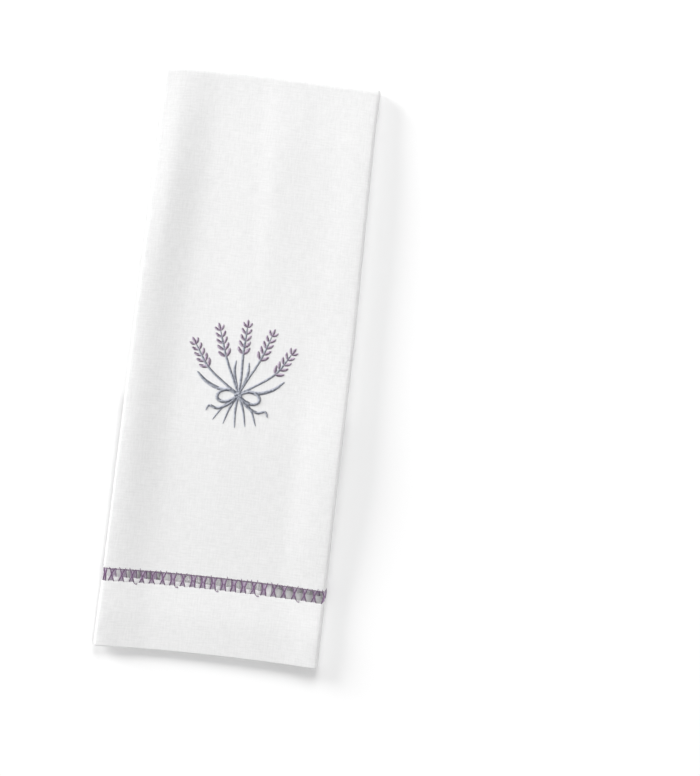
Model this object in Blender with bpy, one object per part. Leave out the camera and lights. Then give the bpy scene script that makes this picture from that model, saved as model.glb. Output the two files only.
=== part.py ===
"""Linen hand towel, folded for display and lying face up.

The cloth is one cut length of white linen. Its two side flaps are turned behind the front panel, the
left one first, and then the top is folded over to the back. A band of openwork with hourglass bars
crosses it above a deep double hem at the front end.

The cloth is cut as a flat slab, with its openwork, and every point of it is then folded by the same
rule. Flat places are (u, v): u runs across the cloth from the middle of the front panel, v runs along
it from the edge of the deep hem. Folded, +X is across to the right, +Y is along to the top fold, and
Z is up from the surface that the towel lies on. The origin is under the middle of the towel.
"""

import math
from collections import namedtuple

import bmesh
import bpy
from mathutils import Vector

MM = 0.001

# The cut cloth.
CLOTH_WIDTH = 300 * MM
CLOTH_LENGTH = 500 * MM
THICKNESS = 1.0 * MM
HEM_DEPTH = 36 * MM
HEM_SWELLING = 1.3  # the double hem and its spacing, against the single cloth
SWELLING_FROM = 40 * MM  # the swelling grows from here towards the hem
SWELLING_TO = 31 * MM

# How it is folded.
PITCH = 1.4 * MM  # from one layer to the next
PANEL_WIDTH = 117.6 * MM  # the flat part of the front panel, from fold to fold
LEFT_TURN = math.pi * PITCH / 2  # the cloth in the left fold, round one spacing
RIGHT_TURN = math.pi * PITCH  # the cloth in the right fold, round both flaps
UNDER_FLAP = 90.3 * MM  # the flap turned first, from the left
OUTER_FLAP = CLOTH_WIDTH - PANEL_WIDTH - UNDER_FLAP - LEFT_TURN - RIGHT_TURN
FRONT_LENGTH = 315 * MM  # from the hem's edge to the start of the top fold
LAYERS = 3  # on each side of the top fold
TOP_TURN = math.pi * PITCH * LAYERS / 2
BACK_LENGTH = CLOTH_LENGTH - FRONT_LENGTH - TOP_TURN
STACK = (2 * LAYERS - 1) * PITCH  # middle of the lowest layer to middle of the highest
FOLD_Y = 157.2 * MM  # where the top fold starts, before the origin is set
SLOPE_EASE = 0.2  # the share of the slope, below the back's end, in which it bends

# The flaps were turned a little unevenly: near the hem each lies further up than the front panel.
UNDER_SLIDE = 2.2 * MM
OUTER_SLIDE = 3.7 * MM  # at its fold
OUTER_TILT = 2.8 * MM  # more at its free edge
SLIDE_FULL = 50 * MM  # from the hem's edge
SLIDE_NONE = 250 * MM
FLAP_SKEW = 0.7 * MM  # the under flap shows past the left edge
FLAP_SKEW_FROM = -95 * MM
FLAP_SKEW_TO = -150 * MM

# The openwork band.
BAR_PITCH = 5.49 * MM
BAND_HEIGHT = 6.6 * MM
FIRST_BAR = -55.0 * MM  # of the front, as x, and so are the next three
FRONT_GAP = FIRST_BAR + BAR_PITCH / 2
UNDER_GAP = FRONT_GAP + 1.2 * MM  # the bars go on round both folds at the same spacing
OUTER_GAP = FRONT_GAP + 6 * BAR_PITCH + 1.4 * MM
GapRow = namedtuple("GapRow", "height half_width")
GAP_ROWS = (
    GapRow(height=0.0, half_width=1.15 * MM),
    GapRow(height=0.25, half_width=1.8 * MM),
    GapRow(height=0.5, half_width=2.1 * MM),
    GapRow(height=0.75, half_width=1.8 * MM),
    GapRow(height=1.0, half_width=1.15 * MM),
)
Ladder = namedtuple("Ladder", "layer first_gap gaps")
LADDERS = (
    Ladder(layer="front", first_gap=FRONT_GAP, gaps=20),
    Ladder(layer="under", first_gap=UNDER_GAP, gaps=15),
    Ladder(layer="outer", first_gap=OUTER_GAP, gaps=14),
)

# The outline of the folded towel: it widens a little from the top fold to the hem.
Station = namedtuple("Station", "y left right")
OUTLINE = (
    Station(y=-160 * MM, left=-62.7 * MM, right=60.4 * MM),
    Station(y=-60 * MM, left=-61.6 * MM, right=60.0 * MM),
    Station(y=20 * MM, left=-60.7 * MM, right=60.2 * MM),
    Station(y=90 * MM, left=-59.8 * MM, right=59.1 * MM),
    Station(y=140 * MM, left=-59.2 * MM, right=58.4 * MM),
    Station(y=160 * MM, left=-58.9 * MM, right=58.9 * MM),
)
BOW_DEPTH = 1.7 * MM  # the weft and both ends sag towards the sides
BOW_MIDDLE = 1.5 * MM
BOW_DRIFT = -17 * MM  # its middle moves over to the left towards the top
BOW_REACH = 70 * MM
CORNER_SOFTNESS = 1.2 * MM  # the rounding of the top left corner
CORNER_REACH = 5 * MM
CORNER_FROM = 118 * MM

# Soft swells that run along the towel, each a smooth ridge with faded ends.
Swell = namedtuple("Swell", "across left_reach right_reach height low high fade drift")
SWELLS = (
    Swell(across=-58 * MM, left_reach=14 * MM, right_reach=26 * MM, height=3.1 * MM, low=-250 * MM,
          high=185 * MM, fade=130 * MM, drift=3 * MM),
    Swell(across=-50 * MM, left_reach=12 * MM, right_reach=22 * MM, height=1.5 * MM, low=15 * MM,
          high=200 * MM, fade=92 * MM, drift=5 * MM),
    Swell(across=3 * MM, left_reach=34 * MM, right_reach=60 * MM, height=1.2 * MM, low=-190 * MM,
          high=170 * MM, fade=60 * MM, drift=-3 * MM),
    Swell(across=59 * MM, left_reach=70 * MM, right_reach=14 * MM, height=2.5 * MM, low=-250 * MM,
          high=175 * MM, fade=60 * MM, drift=-2 * MM),
    Swell(across=62 * MM, left_reach=30 * MM, right_reach=14 * MM, height=1.2 * MM, low=-220 * MM,
          high=150 * MM, fade=70 * MM, drift=-2 * MM),
    Swell(across=61 * MM, left_reach=31 * MM, right_reach=30 * MM, height=2.5 * MM, low=-190 * MM,
          high=35 * MM, fade=112 * MM, drift=-9 * MM),
    Swell(across=59 * MM, left_reach=22 * MM, right_reach=20 * MM, height=1.7 * MM, low=-215 * MM,
          high=-100 * MM, fade=52 * MM, drift=-6 * MM),
)
SWELL_SPAN = 300 * MM  # a swell drifts sideways by its drift over this length

# Where the slab is cut into faces.
COLUMN_BARS = (0, *range(1, 20, 2))  # the first bar and every second one have a line of points
LEFT_TURN_STEPS = 4
RIGHT_TURN_STEPS = 5
TOP_TURN_STEPS = 8
HEM_LINES_MM = (5, 18, 31)  # from the hem's edge, as the next ones are
FRONT_LINES_MM = (46, 60, 70, 79, 98, 120, 143, 166, 189, 212, 235, 258, 281, 300, 310)
LAST_LINE = 3 * MM  # no line lies nearer than this to the cloth's back end
TINY = 1e-6

LINEN_WHITE = (0.86, 0.86, 0.85, 1.0)


def smooth_step(low, high, value):
    """0 before low, 1 after high, and an even S between them. It also runs backwards."""
    share = min(max((value - low) / (high - low), 0.0), 1.0)
    return share * share * (3 - 2 * share)


def between(rows, y):
    """The outline's left and right edge at y, from the two stations on either side of it."""
    if y <= rows[0].y:
        return rows[0].left, rows[0].right
    for low, high in zip(rows, rows[1:]):
        if y <= high.y:
            share = (y - low.y) / (high.y - low.y)
            return low.left + share * (high.left - low.left), low.right + share * (high.right - low.right)
    return rows[-1].left, rows[-1].right


def flat_place(layer, x):
    """The u of the cloth that lies at x in a layer: the front panel, or one of the flaps behind it."""
    half = PANEL_WIDTH / 2
    if layer == "under":
        return -half - LEFT_TURN - (x + half)
    if layer == "outer":
        return half + RIGHT_TURN + (half - x)
    return x


def fold_across(u, rise):
    """Turns both flaps behind the front panel: x, and the depth below the middle of the panel.

    rise is the height above the middle of the cloth on its face side."""
    half = PANEL_WIDTH / 2
    if u < -half - LEFT_TURN:
        return -half + (-half - LEFT_TURN - u), PITCH + rise
    if u < -half:
        angle = (-half - u) / (PITCH / 2)
        radius = PITCH / 2 + rise
        return -half - radius * math.sin(angle), PITCH / 2 - radius * math.cos(angle)
    if u <= half:
        return u, -rise
    if u < half + RIGHT_TURN:
        angle = (u - half) / PITCH
        radius = PITCH + rise
        return half + radius * math.sin(angle), PITCH - radius * math.cos(angle)
    return half - (u - half - RIGHT_TURN), 2 * PITCH + rise


def slide(u, v):
    """How much further up than the front panel a flap lies, which grows through its fold."""
    half = PANEL_WIDTH / 2
    if u < 0:
        whole = UNDER_SLIDE * smooth_step(-half, -half - LEFT_TURN, u)
    else:
        beyond = max(u - half - RIGHT_TURN, 0.0) / OUTER_FLAP
        whole = OUTER_SLIDE * smooth_step(half, half + RIGHT_TURN, u) + OUTER_TILT * beyond
    return whole * smooth_step(SLIDE_NONE, SLIDE_FULL, v)


def propped_share(v):
    """How much of the back's height still lifts the front: all of it as far down as the back reaches,
    and from there less and less, on a slope that is flat on the surface at the hem's edge."""
    share = min(v / (FRONT_LENGTH - BACK_LENGTH), 1.0)
    if share < 1 - SLOPE_EASE:
        return share / (1 - SLOPE_EASE / 2)
    return 1 - (1 - share) ** 2 / (SLOPE_EASE * (2 - SLOPE_EASE))


def fold_along(v, depth):
    """Folds the stack of three over the top: y and z of a point this far below the front panel.

    v is where the point lies against the front panel."""
    centre = THICKNESS / 2 + STACK / 2
    radius = STACK / 2 - depth
    if v > FRONT_LENGTH + TOP_TURN:
        return FOLD_Y - (v - FRONT_LENGTH - TOP_TURN), centre - radius
    if v > FRONT_LENGTH:
        angle = math.pi * (v - FRONT_LENGTH) / TOP_TURN
        return FOLD_Y + radius * math.sin(angle), centre + radius * math.cos(angle)
    swelling = 1 + (HEM_SWELLING - 1) * smooth_step(SWELLING_FROM, SWELLING_TO, v)
    above_floor = (LAYERS - 1) * PITCH + THICKNESS / 2 - depth
    return v - FRONT_LENGTH + FOLD_Y, propped_share(v) * LAYERS * PITCH + swelling * above_floor


def swell_height(x, y):
    """How far the highest layer stands above its flat height, from all the swells."""
    height = 0.0
    for swell in SWELLS:
        middle = swell.across + swell.drift * y / SWELL_SPAN
        offset = abs(x - middle) / (swell.left_reach if x < middle else swell.right_reach)
        if offset < 1:
            ends = smooth_step(swell.low, swell.low + swell.fade, y)
            ends *= smooth_step(swell.high, swell.high - swell.fade, y)
            height += swell.height * ends * math.cos(offset * math.pi / 2) ** 2
    return height


def lay_out(x, y, depth):
    """Moves a folded point in plan: the outline's flare, the bow of the weft and the flaps' unevenness."""
    level = min(max(depth / PITCH, 0.0), 1.0)
    x -= FLAP_SKEW * level * (0.5 - x / PANEL_WIDTH) * smooth_step(FLAP_SKEW_FROM, FLAP_SKEW_TO, y)
    left, right = between(OUTLINE, y)
    folded_left = -PANEL_WIDTH / 2 - PITCH / 2 - THICKNESS / 2
    folded_right = PANEL_WIDTH / 2 + PITCH + THICKNESS / 2
    x = left + (x - folded_left) * (right - left) / (folded_right - folded_left)
    y -= BOW_DEPTH * ((x - BOW_MIDDLE - BOW_DRIFT * y / FRONT_LENGTH) / BOW_REACH) ** 2
    near_corner = max(1 - (x - left) / CORNER_REACH, 0.0) * smooth_step(CORNER_FROM, FOLD_Y, y)
    return x, y - CORNER_SOFTNESS * near_corner ** 2


def folded(u, v, rise):
    """The place in space of a point of the flat slab."""
    x, depth = fold_across(u, rise)
    v += slide(u, v)
    y, z = fold_along(v, depth)
    middle_depth = fold_across(u, 0.0)[1]
    middle_z = fold_along(v, middle_depth)[1]
    x, y = lay_out(x, y, middle_depth)
    lift = max((middle_z - THICKNESS / 2) / STACK, 0.0)
    return Vector((x, y, z + lift * swell_height(x, y)))


def cut_line(bm, place, direction, faces):
    """Cuts a straight line of points across these faces of the flat cloth."""
    edges = {edge for face in faces for edge in face.edges}
    verts = {vert for face in faces for vert in face.verts}
    bmesh.ops.bisect_plane(bm, geom=[*faces, *edges, *verts], dist=TINY, plane_co=place * direction,
                           plane_no=direction)


def turn_places():
    """Each u of a line of points in the two side folds."""
    half = PANEL_WIDTH / 2
    left = [-half - LEFT_TURN * step / LEFT_TURN_STEPS for step in range(LEFT_TURN_STEPS + 1)]
    right = [half + RIGHT_TURN * step / RIGHT_TURN_STEPS for step in range(RIGHT_TURN_STEPS + 1)]
    return left + right


def panel_places():
    """Each u of a line of points between the folds, at the same x on every layer."""
    lines = [FIRST_BAR + bar * BAR_PITCH for bar in COLUMN_BARS]
    return [flat_place(ladder.layer, x) for ladder in LADDERS for x in lines]


def row_places():
    """Each v where a line of points runs across the whole cloth. The back's lines lie under the front's."""
    fronts = [line * MM for line in FRONT_LINES_MM]
    places = [line * MM for line in HEM_LINES_MM] + fronts + [FRONT_LENGTH]
    places += [HEM_DEPTH + row.height * BAND_HEIGHT for row in GAP_ROWS]
    places += [FRONT_LENGTH + TOP_TURN * step / TOP_TURN_STEPS for step in range(1, TOP_TURN_STEPS + 1)]
    behind = [FRONT_LENGTH + TOP_TURN + (FRONT_LENGTH - front) for front in fronts]
    return places + [place for place in behind if place < CLOTH_LENGTH - LAST_LINE]


def in_band(face):
    """Whether a face of the flat cloth lies in the openwork band."""
    return HEM_DEPTH < face.calc_center_median().y < HEM_DEPTH + BAND_HEIGHT


def cut_gap(bm, middle):
    """Opens one gap of the band, narrow at both ends and wide halfway, between two hourglass bars."""
    end = GAP_ROWS[0].half_width
    for side in (-end, end):
        cut_line(bm, middle + side, Vector((1, 0, 0)), list(filter(in_band, bm.faces)))
    gap = [face for face in filter(in_band, bm.faces) if abs(face.calc_center_median().x - middle) < end]
    bmesh.ops.delete(bm, geom=gap, context="FACES")
    sides = [vert for vert in bm.verts if abs(abs(vert.co.x - middle) - end) < TINY]
    for row in GAP_ROWS[1:-1]:
        height = HEM_DEPTH + row.height * BAND_HEIGHT
        for vert in sides:
            if abs(vert.co.y - height) < TINY:
                vert.co.x = middle + math.copysign(row.half_width, vert.co.x - middle)


def flat_cloth():
    """The cut cloth, one flat sheet with its lines of points and its openwork."""
    bm = bmesh.new()
    bmesh.ops.create_grid(bm, x_segments=1, y_segments=1, size=0.5)
    bmesh.ops.scale(bm, verts=bm.verts, vec=(CLOTH_WIDTH, CLOTH_LENGTH, 1))
    left_edge = flat_place("under", -PANEL_WIDTH / 2) - UNDER_FLAP
    bmesh.ops.translate(bm, verts=bm.verts, vec=(left_edge + CLOTH_WIDTH / 2, CLOTH_LENGTH / 2, 0))
    for place in row_places():
        cut_line(bm, place, Vector((0, 1, 0)), bm.faces[:])
    for place in turn_places():
        cut_line(bm, place, Vector((1, 0, 0)), bm.faces[:])
    for place in panel_places():
        cut_line(bm, place, Vector((1, 0, 0)), [face for face in bm.faces if not in_band(face)])
    for ladder in LADDERS:
        for number in range(ladder.gaps):
            cut_gap(bm, flat_place(ladder.layer, ladder.first_gap + number * BAR_PITCH))
    uneven = [face for face in bm.faces if len(face.verts) > 4]
    bmesh.ops.triangulate(bm, faces=uneven)
    return bm


def folded_cloth(bm):
    """Gives the flat sheet its thickness, and folds every point of it."""
    face_side = bm.verts[:]
    sheet = bm.faces[:]
    made = bmesh.ops.extrude_face_region(bm, geom=sheet, use_keep_orig=True)
    back_side = [item for item in made["geom"] if isinstance(item, bmesh.types.BMVert)]
    bmesh.ops.translate(bm, verts=face_side, vec=(0, 0, THICKNESS / 2))
    bmesh.ops.translate(bm, verts=back_side, vec=(0, 0, -THICKNESS / 2))
    bmesh.ops.recalc_face_normals(bm, faces=bm.faces)
    for vert in bm.verts:
        vert.co = folded(*vert.co)


def set_origin(bm):
    """Puts the origin under the middle of the towel's box."""
    low = Vector([min(vert.co[axis] for vert in bm.verts) for axis in range(3)])
    high = Vector([max(vert.co[axis] for vert in bm.verts) for axis in range(3)])
    middle = (low + high) / 2
    bmesh.ops.translate(bm, verts=bm.verts, vec=(-middle.x, -middle.y, -low.z))


def linen():
    """White plain-weave linen."""
    material = bpy.data.materials.new("white linen")
    material.use_nodes = True
    shader = material.node_tree.nodes["Principled BSDF"]
    shader.inputs["Base Color"].default_value = LINEN_WHITE
    shader.inputs["Roughness"].default_value = 0.9
    shader.inputs["Metallic"].default_value = 0.0
    return material


def make_towel(collection):
    """The whole towel: one piece of cloth."""
    bm = flat_cloth()
    folded_cloth(bm)
    set_origin(bm)
    mesh = bpy.data.meshes.new("linen_towel")
    bm.to_mesh(mesh)
    bm.free()
    mesh.shade_smooth()
    mesh.set_sharp_from_angle(angle=math.radians(40))
    mesh.materials.append(linen())
    towel = bpy.data.objects.new("linen_towel", mesh)
    collection.objects.link(towel)
    return towel


def main():
    for item in list(bpy.data.objects):
        bpy.data.objects.remove(item)
    collection = bpy.data.collections.new("hand towel")
    bpy.context.scene.collection.children.link(collection)
    make_towel(collection)


main()
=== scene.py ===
"""Looks of a white linen hand towel, folded for display and lying face up.

The cloth is cut flat, as a thin sheet with its openwork band open, and every point of it is then folded
by the rule that also folds the solid it stands for. What is sewn on the cloth is laid out flat too, and
folded with it. Flat places are (u, v): u runs across the cloth from the middle of the front panel, v runs
along it from the edge of the deep hem. rise is the height above the middle of the cloth on its face side.
"""

import math
import random
from collections import namedtuple

import bmesh
import bpy
import numpy as np
from bpy.props import FloatProperty, FloatVectorProperty, PointerProperty
from mathutils import Euler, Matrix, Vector, noise


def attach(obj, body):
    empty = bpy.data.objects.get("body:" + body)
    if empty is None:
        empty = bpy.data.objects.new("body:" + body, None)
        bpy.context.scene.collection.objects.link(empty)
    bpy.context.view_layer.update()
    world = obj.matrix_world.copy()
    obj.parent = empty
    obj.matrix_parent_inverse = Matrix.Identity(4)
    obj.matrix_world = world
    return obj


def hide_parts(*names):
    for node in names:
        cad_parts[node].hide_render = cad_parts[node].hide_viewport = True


bl_info = {
    "name": "Folded Hand Towel",
    "version": (1, 0, 0),
    "blender": (4, 5, 0),
    "location": "3D View > Sidebar > Towel",
    "description": "Linen hand towel with an openwork band and satin stitch, folded in thirds",
    "category": "Mesh",
}

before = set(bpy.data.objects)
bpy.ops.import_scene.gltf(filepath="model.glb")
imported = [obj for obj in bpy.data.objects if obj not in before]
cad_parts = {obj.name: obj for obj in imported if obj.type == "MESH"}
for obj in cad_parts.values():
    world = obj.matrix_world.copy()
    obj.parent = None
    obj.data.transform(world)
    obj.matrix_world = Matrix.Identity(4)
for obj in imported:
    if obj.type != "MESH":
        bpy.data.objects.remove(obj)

MM = 0.001

# The cut cloth, as in the solid.
CLOTH_WIDTH = 300 * MM
CLOTH_LENGTH = 500 * MM
SOLID_THICKNESS = 1.0 * MM
HEM_DEPTH = 36 * MM
HEM_SWELLING = 1.3
SWELLING_FROM = 40 * MM
SWELLING_TO = 14 * MM  # softer than on the solid, where the thicker hem pushes it up

# How it is folded.
PITCH = 1.4 * MM
PANEL_WIDTH = 117.6 * MM
HALF_PANEL = PANEL_WIDTH / 2
LEFT_TURN = math.pi * PITCH / 2
RIGHT_TURN = math.pi * PITCH
UNDER_FLAP = 90.3 * MM
OUTER_FLAP = CLOTH_WIDTH - PANEL_WIDTH - UNDER_FLAP - LEFT_TURN - RIGHT_TURN
LEFT_EDGE = -HALF_PANEL - LEFT_TURN - UNDER_FLAP
RIGHT_EDGE = LEFT_EDGE + CLOTH_WIDTH
UNDER_START = -HALF_PANEL - LEFT_TURN
OUTER_START = HALF_PANEL + RIGHT_TURN
FRONT_LENGTH = 315 * MM
LAYERS = 3
TOP_TURN = math.pi * PITCH * LAYERS / 2
BACK_START = FRONT_LENGTH + TOP_TURN
BACK_LENGTH = CLOTH_LENGTH - BACK_START
STACK = (2 * LAYERS - 1) * PITCH
FOLD_Y = 157.2 * MM
TOP_SQUARENESS = 0.56  # 1 would leave the fold over the top round, as it is on the solid
SLOPE_EASE = 0.2
UNDER_SLIDE = 2.2 * MM
OUTER_SLIDE = 3.7 * MM
OUTER_TILT = 2.8 * MM
SLIDE_FULL = 50 * MM
SLIDE_NONE = 250 * MM
FLAP_SKEW = 0.7 * MM
FLAP_SKEW_FROM = -95 * MM
FLAP_SKEW_TO = -150 * MM
ORIGIN_SHIFT = Vector((1.36269 * MM, -0.81362 * MM, 0.0))

# The outline of the folded towel.
Station = namedtuple("Station", "y left right")
OUTLINE = (
    Station(y=-160 * MM, left=-62.7 * MM, right=60.4 * MM),
    Station(y=-60 * MM, left=-61.6 * MM, right=60.0 * MM),
    Station(y=20 * MM, left=-60.7 * MM, right=60.2 * MM),
    Station(y=90 * MM, left=-59.8 * MM, right=59.1 * MM),
    Station(y=140 * MM, left=-59.2 * MM, right=58.4 * MM),
    Station(y=160 * MM, left=-58.9 * MM, right=58.9 * MM),
)
BOW_DEPTH = 1.7 * MM
BOW_MIDDLE = 1.5 * MM
BOW_DRIFT = -17 * MM
BOW_REACH = 70 * MM
CORNER_SOFTNESS = 1.2 * MM
CORNER_REACH = 5 * MM
CORNER_FROM = 118 * MM

# Soft swells that run along the towel, as in the solid, in millimetres. The crest lies at across, and on its
# way up it leans to the right by drift over SWELL_SPAN. From low, and from high, it grows over fade.
Swell = namedtuple("Swell", "across left_reach right_reach height low high fade drift")
SWELLS = (
    Swell(across=-58, left_reach=14, right_reach=26, height=3.1, low=-250, high=185, fade=130, drift=3),
    Swell(across=-50, left_reach=12, right_reach=22, height=1.5, low=15, high=200, fade=92, drift=5),
    Swell(across=3, left_reach=34, right_reach=60, height=1.2, low=-190, high=170, fade=60, drift=-3),
    Swell(across=59, left_reach=70, right_reach=14, height=2.5, low=-250, high=175, fade=60, drift=-2),
    Swell(across=62, left_reach=30, right_reach=14, height=1.2, low=-220, high=150, fade=70, drift=-2),
    Swell(across=61, left_reach=31, right_reach=30, height=2.5, low=-190, high=35, fade=112, drift=-9),
    Swell(across=59, left_reach=22, right_reach=20, height=1.7, low=-215, high=-100, fade=52, drift=-6),
)
SWELL_SPAN = 300

# Shallow creases of the front, in millimetres: soft ridges, and troughs where the height is negative.
Crease = namedtuple("Crease", "start end left_reach right_reach height")
CREASES = (
    Crease(start=(-54, 25), end=(-53, -125), left_reach=8, right_reach=13, height=0.35),
    Crease(start=(4, 186), end=(11, 33), left_reach=12, right_reach=20, height=0.7),
    Crease(start=(18, 172), end=(21, 112), left_reach=12, right_reach=6, height=0.15),
    Crease(start=(49, 181), end=(54, 30), left_reach=16, right_reach=20, height=0.5),
    Crease(start=(44, -10), end=(45, -140), left_reach=13, right_reach=20, height=0.7),
    Crease(start=(-43, -120), end=(-40, -190), left_reach=8, right_reach=8, height=0.25),
    Crease(start=(23, -120), end=(26, -185), left_reach=10, right_reach=6, height=0.12),
    Crease(start=(-5, -34), end=(-5, -106), left_reach=12, right_reach=8, height=0.15),
    Crease(start=(-13, 141), end=(6, 22), left_reach=3, right_reach=3, height=-0.05),
    Crease(start=(-35, 17), end=(-29, -131), left_reach=10, right_reach=16, height=-0.25),
)

# The openwork band: one bar after the other right across the cloth, also round its folds.
BAND_HEIGHT = 6.6 * MM
BAND_TOP = HEM_DEPTH + BAND_HEIGHT
BAR_PITCH = 5.49 * MM
FIRST_BAR = -55.0 * MM
BARS = range(-16, 37)  # the first bar of the front is number 0
LOOPED_BARS = range(2, 21, 4)  # the thread crosses the band's lower edge beside these

# The narrow hems, and where each has its inner edge.
SIDE_HEM = 3.6 * MM
LEFT_HEM = LEFT_EDGE + SIDE_HEM
RIGHT_HEM = RIGHT_EDGE - SIDE_HEM
END_HEM = CLOTH_LENGTH - 9 * MM

FACE = SOLID_THICKNESS / 2  # the cloth's face side, as a rise

# The slack of soft cloth: slow hollows, and narrow streaks that run along the towel.
Slack = namedtuple("Slack", "width length depth seed")
HOLLOWS = Slack(width=21 * MM, length=34 * MM, depth=0.10 * MM, seed=2.5)
STREAKS = Slack(width=4.5 * MM, length=45 * MM, depth=0.035 * MM, seed=7.1)

# How finely the cloth's mesh is cut.
RIM_OFFSETS = (0.0, 0.12 * MM, 0.3 * MM, 0.6 * MM)  # beside a rim, where the cloth is rounded off
PANEL_STEP = 1.5 * MM
LENGTH_STEP = 2 * MM
FLAP_STEP = 3 * MM
SIDE_HEM_STEP = 1.2 * MM
BAND_STEP = 1.6 * MM
HEM_STEP = 1.4 * MM
LEFT_FOLD_STEP = 0.28 * MM
RIGHT_FOLD_STEP = 0.37 * MM
TOP_FOLD_STEP = 0.4 * MM

DOUBLED_EDGE = 0.5 * MM  # the doubled cloth thins out over this width
RIM_THINNESS = 0.3  # of a rim, against the cloth beside it
SCALLOP_DEPTH = 0.22 * MM
SCALLOP_REACH = 1.5 * MM
WELD = 0.002 * MM
BESIDE_END = 0.7  # a thread's radius next to its ends, against its middle


def smooth_step(low, high, value):
    """0 before low, 1 after high, and an even S between them. It also runs backwards."""
    share = min(max((value - low) / (high - low), 0.0), 1.0)
    return share * share * (3 - 2 * share)


def between(rows, y):
    """The outline's left and right edge at y, from the two stations on either side of it."""
    if y <= rows[0].y:
        return rows[0].left, rows[0].right
    for low, high in zip(rows, rows[1:]):
        if y <= high.y:
            share = (y - low.y) / (high.y - low.y)
            return low.left + share * (high.left - low.left), low.right + share * (high.right - low.right)
    return rows[-1].left, rows[-1].right


def fold_across(u, rise):
    """Turns both flaps behind the front panel: x, and the depth below the middle of the panel."""
    if u < UNDER_START:
        return -HALF_PANEL + UNDER_START - u, PITCH + rise
    if u < -HALF_PANEL:
        angle = (-HALF_PANEL - u) / (PITCH / 2)
        radius = PITCH / 2 + rise
        return -HALF_PANEL - radius * math.sin(angle), PITCH / 2 - radius * math.cos(angle)
    if u <= HALF_PANEL:
        return u, -rise
    if u < OUTER_START:
        angle = (u - HALF_PANEL) / PITCH
        radius = PITCH + rise
        return HALF_PANEL + radius * math.sin(angle), PITCH - radius * math.cos(angle)
    return HALF_PANEL + OUTER_START - u, 2 * PITCH + rise


def slide(u, v):
    """How much further up than the front panel a flap lies, which grows through its fold."""
    if u < 0:
        whole = UNDER_SLIDE * smooth_step(-HALF_PANEL, UNDER_START, u)
    else:
        beyond = max(u - OUTER_START, 0.0) / OUTER_FLAP
        whole = OUTER_SLIDE * smooth_step(HALF_PANEL, OUTER_START, u) + OUTER_TILT * beyond
    return whole * smooth_step(SLIDE_NONE, SLIDE_FULL, v)


def propped_share(v):
    """How much of the back's height still lifts the front."""
    share = min(v / (FRONT_LENGTH - BACK_LENGTH), 1.0)
    if share < 1 - SLOPE_EASE:
        return share / (1 - SLOPE_EASE / 2)
    return 1 - (1 - share) ** 2 / (SLOPE_EASE * (2 - SLOPE_EASE))


def squared_arc():
    """The fold over the top for a radius of 1: shares of its length, and how far out and up each lies."""
    angles = np.linspace(0, math.pi, 721)
    outs = np.maximum(np.sin(angles), 0.0) ** TOP_SQUARENESS
    ups = np.copysign(np.abs(np.cos(angles)) ** TOP_SQUARENESS, np.cos(angles))
    lengths = np.concatenate(([0.0], np.cumsum(np.hypot(np.diff(outs), np.diff(ups)))))
    return lengths / lengths[-1], outs, ups


TOP_ARC = squared_arc()


def fold_along(v, depth):
    """Folds the stack of three over the top: y and z of a point this far below the front panel."""
    centre = SOLID_THICKNESS / 2 + STACK / 2
    radius = STACK / 2 - depth
    if v > BACK_START:
        return FOLD_Y + BACK_START - v, centre - radius
    if v > FRONT_LENGTH:
        shares, outs, ups = TOP_ARC
        share = (v - FRONT_LENGTH) / TOP_TURN
        out = np.interp(share, shares, outs)
        up = np.interp(share, shares, ups)
        return FOLD_Y + radius * out, centre + radius * up
    swelling = 1 + (HEM_SWELLING - 1) * smooth_step(SWELLING_FROM, SWELLING_TO, v)
    above_floor = (LAYERS - 1) * PITCH + SOLID_THICKNESS / 2 - depth
    return v - FRONT_LENGTH + FOLD_Y, propped_share(v) * LAYERS * PITCH + swelling * above_floor


def swell_height(x, y):
    """How far the highest layer stands above its flat height, from all the swells, in metres."""
    x, y = x / MM, y / MM
    height = 0.0
    for swell in SWELLS:
        middle = swell.across + swell.drift * y / SWELL_SPAN
        offset = abs(x - middle) / (swell.left_reach if x < middle else swell.right_reach)
        if offset < 1:
            ends = smooth_step(swell.low, swell.low + swell.fade, y)
            ends *= smooth_step(swell.high, swell.high - swell.fade, y)
            height += swell.height * ends * math.cos(offset * math.pi / 2) ** 2
    return height * MM


def crease_height(x, y):
    """What the shallow creases add to the front, in metres."""
    height = 0.0
    for crease in CREASES:
        start = Vector(crease.start)
        run = Vector(crease.end) - start
        offset = Vector((x, y)) / MM - start
        share = offset.dot(run) / run.length_squared
        across = offset - share * run
        away = across.length / (crease.left_reach if across.x < 0 else crease.right_reach)
        if 0 < share < 1 and away < 1:
            height += crease.height * math.sin(math.pi * share) * math.cos(away * math.pi / 2) ** 2
    return height * MM


def unevenness(x, y):
    """What the cloth's slack adds to the front."""
    return sum(slack.depth * noise.noise(Vector((x / slack.width, y / slack.length, slack.seed)))
               for slack in (HOLLOWS, STREAKS))


def lay_out(x, y, depth):
    """Moves a folded point in plan: the outline's flare, the bow of the weft and the flaps' unevenness."""
    level = min(max(depth / PITCH, 0.0), 1.0)
    x -= FLAP_SKEW * level * (0.5 - x / PANEL_WIDTH) * smooth_step(FLAP_SKEW_FROM, FLAP_SKEW_TO, y)
    left, right = between(OUTLINE, y)
    folded_left = -HALF_PANEL - PITCH / 2 - SOLID_THICKNESS / 2
    folded_right = HALF_PANEL + PITCH + SOLID_THICKNESS / 2
    x = left + (x - folded_left) * (right - left) / (folded_right - folded_left)
    y -= BOW_DEPTH * ((x - BOW_MIDDLE - BOW_DRIFT * y / FRONT_LENGTH) / BOW_REACH) ** 2
    near_corner = max(1 - (x - left) / CORNER_REACH, 0.0) * smooth_step(CORNER_FROM, FOLD_Y, y)
    return x, y - CORNER_SOFTNESS * near_corner ** 2


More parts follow.
